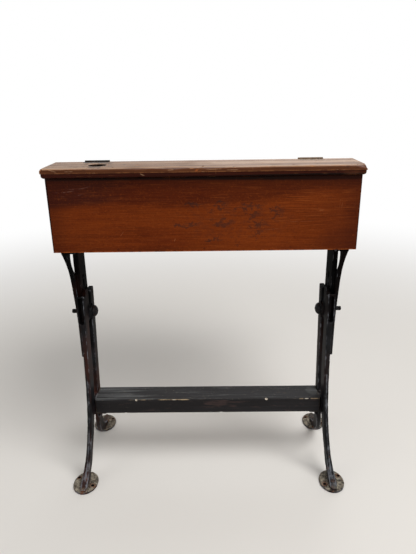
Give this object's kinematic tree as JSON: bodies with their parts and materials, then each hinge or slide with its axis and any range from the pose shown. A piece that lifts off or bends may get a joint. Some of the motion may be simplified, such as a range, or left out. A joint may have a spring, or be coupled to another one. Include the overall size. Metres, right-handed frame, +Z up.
{
  "type": "school desk",
  "caption": "School desk: a wooden box with a sloping hinged lid and a pen ledge with an inkwell hole, on cast iron standards adjustable in height and joined by a footrest.",
  "frame": {"origin": "middle of the footprint on the floor, under the centre of the overall length and depth", "axes": "+Z up, +X along the pen ledge to the right as seen from the desk's back, +Y from the back panel to the pupil's side"},
  "size_m": [0.626, 0.4646, 0.7248],
  "materials": {
    "stained_wood": "worn dark stain and varnish",
    "bare_wood": "bare, aged",
    "painted_wood": "worn black paint",
    "cast_iron": "worn black paint",
    "bolt_steel": "dull, darkened",
    "hinge_steel": "dark, worn",
    "screw_steel": "dull",
    "nail_steel": "stained over"
  },
  "bodies": {
    "base": {"lower_frame_left": "cast_iron", "lower_frame_right": "cast_iron", "footrest": "painted_wood", "footrest_screws": "screw_steel", "clamp_bolt_left": "bolt_steel", "clamp_bolt_right": "bolt_steel", "clamp_washer_left": "bolt_steel", "clamp_washer_right": "bolt_steel"},
    "desk_box": {"back_panel": "stained_wood", "front_panel": "stained_wood", "side_left": "stained_wood", "side_right": "stained_wood", "bottom_board": "bare_wood", "pen_ledge": "stained_wood", "hinge_leaf_fixed_left": "hinge_steel", "hinge_leaf_fixed_right": "hinge_steel", "hinge_pin_left": "hinge_steel", "hinge_pin_right": "hinge_steel", "hinge_screws_fixed": "screw_steel", "ledge_nails": "nail_steel", "back_nails": "nail_steel", "front_nails": "nail_steel", "side_nails": "nail_steel", "upper_standard_left": "cast_iron", "upper_standard_right": "cast_iron", "bracket_screws": "screw_steel"},
    "desk_lid": {"lid": "stained_wood", "lid_cleat_left": "bare_wood", "lid_cleat_right": "bare_wood", "hinge_leaf_lid_left": "hinge_steel", "hinge_leaf_lid_right": "hinge_steel", "hinge_screws_lid": "screw_steel", "cleat_screws": "screw_steel"},
    "nut_left": {"clamp_nut_left": "bolt_steel"},
    "nut_right": {"clamp_nut_right": "bolt_steel"}
  },
  "joints": [
    {"name": "height_adjust", "type": "slide", "parent": "base", "child": "desk_box", "axis": [0, 0, 1], "range_m": [-0.075, 0.08]},
    {"name": "lid_hinge", "type": "hinge", "parent": "desk_box", "child": "desk_lid", "pos_m": [0, -0.08614, 0.7226], "axis": [1, 0, 0], "range_deg": [0, 190]},
    {"name": "nut_turn_left", "type": "hinge", "parent": "base", "child": "nut_left", "pos_m": [-0.2803, -0.09264, 0.393], "axis": [1, 0, 0], "range_deg": [0, 360]},
    {"name": "nut_turn_right", "type": "hinge", "parent": "base", "child": "nut_right", "pos_m": [0.2803, -0.09264, 0.393], "axis": [1, 0, 0], "range_deg": [0, 360]}
  ]
}
